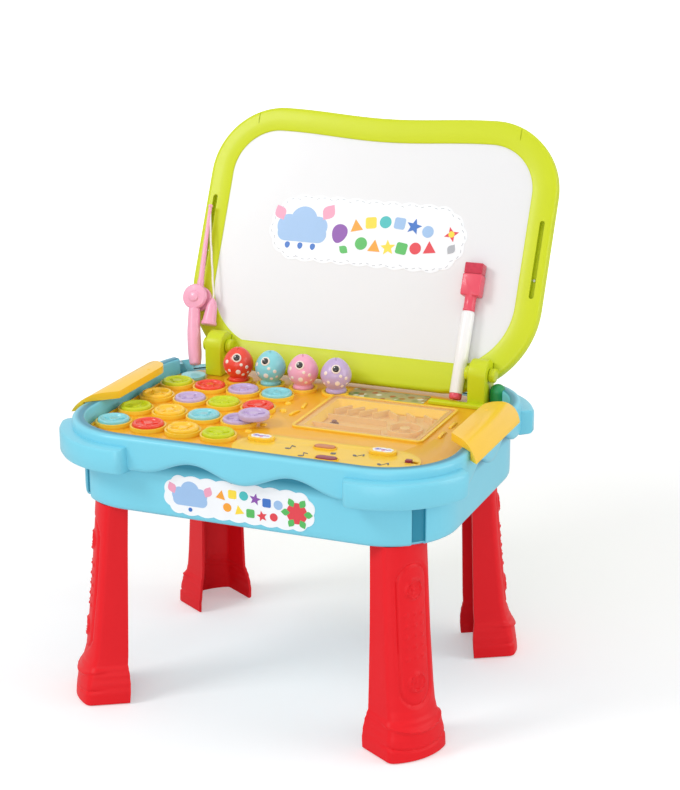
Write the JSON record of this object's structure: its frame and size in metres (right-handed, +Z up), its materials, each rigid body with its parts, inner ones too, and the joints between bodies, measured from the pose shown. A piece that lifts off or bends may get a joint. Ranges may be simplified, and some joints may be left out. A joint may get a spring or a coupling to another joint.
{
  "type": "musical activity table",
  "caption": "Low play table on four legs with a tilting drawing lid, side latches, a panel of picking discs and fish, a maze, music buttons, a marker and a magnetic rod.",
  "frame": {"origin": "on the floor under the middle of the whole part", "axes": "+Z up, +Y towards the lid at the back, +X to the right as seen from the front"},
  "size_m": [0.4094, 0.4038, 0.5124],
  "materials": {
    "blue_plastic": "moulded ABS, satin gloss",
    "red_plastic": "moulded ABS, satin gloss",
    "yellow_plastic": "moulded ABS, satin gloss",
    "lime_plastic": "moulded ABS, satin gloss",
    "pink_plastic": "moulded ABS, satin gloss",
    "teal_plastic": "moulded ABS, satin gloss",
    "lilac_plastic": "moulded ABS, satin gloss",
    "green_plastic": "moulded ABS, satin gloss",
    "tan_plastic": "moulded ABS, matt",
    "brown_plastic": "moulded ABS",
    "orange_plastic": "moulded ABS",
    "maroon_plastic": "moulded ABS",
    "white_plastic": "moulded PP",
    "white_board": "smooth wipe-clean sheet",
    "clear_plastic": "clear styrene window",
    "black_plastic": "moulded and paper cone",
    "battery_case": "sleeved dry cell",
    "circuit_board": "coated laminate",
    "rubber_pad": "soft silicone",
    "printed_paper": "printed and laminated label",
    "eraser_felt": "pressed felt",
    "line_cord": "braided nylon cord",
    "steel": "plated steel"
  },
  "bodies": {
    "root": {"tub": "blue_plastic", "leg_front_left": "red_plastic", "leg_front_right": "red_plastic", "leg_back_left": "red_plastic", "leg_back_right": "red_plastic", "play_panel": "yellow_plastic", "hinge_ear_left": "lime_plastic", "hinge_ear_right": "lime_plastic", "hinge_pins": "steel", "latch_pins": "steel", "rod_rest": "teal_plastic", "rear_cap": "green_plastic", "maze_tray": "tan_plastic", "maze_cover": "clear_plastic", "picture_card": "printed_paper", "batteries": "battery_case", "battery_contacts": "steel", "speaker": "black_plastic", "circuit_board": "circuit_board", "button_pads": "rubber_pad", "panel_screws": "steel", "front_label": "printed_paper"},
    "lid": {"lid_frame": "lime_plastic", "drawing_board": "white_board", "lid_back_panel": "lime_plastic", "lid_screws": "steel", "lid_label": "printed_paper"},
    "latch_left": {"latch_left": "yellow_plastic"},
    "latch_right": {"latch_right": "yellow_plastic"},
    "marker": {"marker_barrel": "white_plastic", "marker_cap": "red_plastic", "marker_eraser": "eraser_felt", "marker_plug": "red_plastic"},
    "fishing_rod": {"rod_grip": "pink_plastic", "rod_reel": "pink_plastic", "rod_shaft": "pink_plastic", "fishing_line": "line_cord", "lure": "pink_plastic"},
    "battery_door": {"battery_door": "blue_plastic", "battery_door_screw": "steel"},
    "maze_bead": {"maze_bead": "brown_plastic"},
    "power_switch": {"power_switch": "maroon_plastic"},
    "fish_red": {"fish_red": "red_plastic"},
    "fish_teal": {"fish_teal": "teal_plastic"},
    "fish_pink": {"fish_pink": "pink_plastic"},
    "fish_lilac": {"fish_lilac": "lilac_plastic"},
    "discs_teal": {"discs_teal": "teal_plastic"},
    "discs_red": {"discs_red": "red_plastic"},
    "discs_yellow": {"discs_yellow": "yellow_plastic"},
    "discs_lime": {"discs_lime": "lime_plastic"},
    "discs_lilac": {"discs_lilac": "lilac_plastic"},
    "button_song": {"button_song": "yellow_plastic"},
    "button_note": {"button_note": "yellow_plastic"},
    "button_oval_back": {"button_oval_back": "orange_plastic"},
    "button_oval_front": {"button_oval_front": "maroon_plastic"}
  },
  "joints": [
    {"name": "lid_hinge", "type": "hinge", "parent": "root", "child": "lid", "pos_m": [0, 0.075, 0.284], "axis": [-1, 0, 0], "range_deg": [-115, 0]},
    {"name": "latch_left_hinge", "type": "hinge", "parent": "root", "child": "latch_left", "pos_m": [-0.1972, -0.0525, 0.2625], "axis": [0, -1, 0], "range_deg": [0, 100]},
    {"name": "latch_right_hinge", "type": "hinge", "parent": "root", "child": "latch_right", "pos_m": [0.1972, -0.0525, 0.2625], "axis": [0, 1, 0], "range_deg": [0, 100]},
    {"name": "marker_pull", "type": "slide", "parent": "lid", "child": "marker", "axis": [0, -0.9048, 0.4258], "range_m": [0, 0.04]},
    {"name": "rod_pull", "type": "slide", "parent": "lid", "child": "fishing_rod", "axis": [0, -0.9048, 0.4258], "range_m": [0, 0.04]},
    {"name": "battery_door_pull", "type": "slide", "parent": "root", "child": "battery_door", "axis": [0, 0, -1], "range_m": [0, 0.03]},
    {"name": "maze_bead_slide", "type": "slide", "parent": "root", "child": "maze_bead", "axis": [1, 0, 0], "range_m": [0, 0.024]},
    {"name": "power_switch_slide", "type": "slide", "parent": "root", "child": "power_switch", "axis": [1, 0, 0], "range_m": [0, 0.006]},
    {"name": "fish_red_lift", "type": "slide", "parent": "root", "child": "fish_red", "axis": [0, 0, 1], "range_m": [0, 0.035]},
    {"name": "fish_teal_lift", "type": "slide", "parent": "root", "child": "fish_teal", "axis": [0, 0, 1], "range_m": [0, 0.035]},
    {"name": "fish_pink_lift", "type": "slide", "parent": "root", "child": "fish_pink", "axis": [0, 0, 1], "range_m": [0, 0.035]},
    {"name": "fish_lilac_lift", "type": "slide", "parent": "root", "child": "fish_lilac", "axis": [0, 0, 1], "range_m": [0, 0.035]},
    {"name": "discs_teal_lift", "type": "slide", "parent": "root", "child": "discs_teal", "axis": [0, 0, 1], "range_m": [0, 0.008]},
    {"name": "discs_red_lift", "type": "slide", "parent": "root", "child": "discs_red", "axis": [0, 0, 1], "range_m": [0, 0.008]},
    {"name": "discs_yellow_lift", "type": "slide", "parent": "root", "child": "discs_yellow", "axis": [0, 0, 1], "range_m": [0, 0.008]},
    {"name": "discs_lime_lift", "type": "slide", "parent": "root", "child": "discs_lime", "axis": [0, 0, 1], "range_m": [0, 0.008]},
    {"name": "discs_lilac_lift", "type": "slide", "parent": "root", "child": "discs_lilac", "axis": [0, 0, 1], "range_m": [0, 0.008]},
    {"name": "button_song_press", "type": "slide", "parent": "root", "child": "button_song", "axis": [0, 0, -1], "range_m": [0, 0.0012], "stiffness_N_per_m": 300, "springref_m": -0.0005},
    {"name": "button_note_press", "type": "slide", "parent": "root", "child": "button_note", "axis": [0, 0, -1], "range_m": [0, 0.0012], "stiffness_N_per_m": 300, "springref_m": -0.0005},
    {"name": "button_oval_back_press", "type": "slide", "parent": "root", "child": "button_oval_back", "axis": [0, 0, -1], "range_m": [0, 0.0012], "stiffness_N_per_m": 300, "springref_m": -0.0005},
    {"name": "button_oval_front_press", "type": "slide", "parent": "root", "child": "button_oval_front", "axis": [0, 0, -1], "range_m": [0, 0.0012], "stiffness_N_per_m": 300, "springref_m": -0.0005}
  ]
}
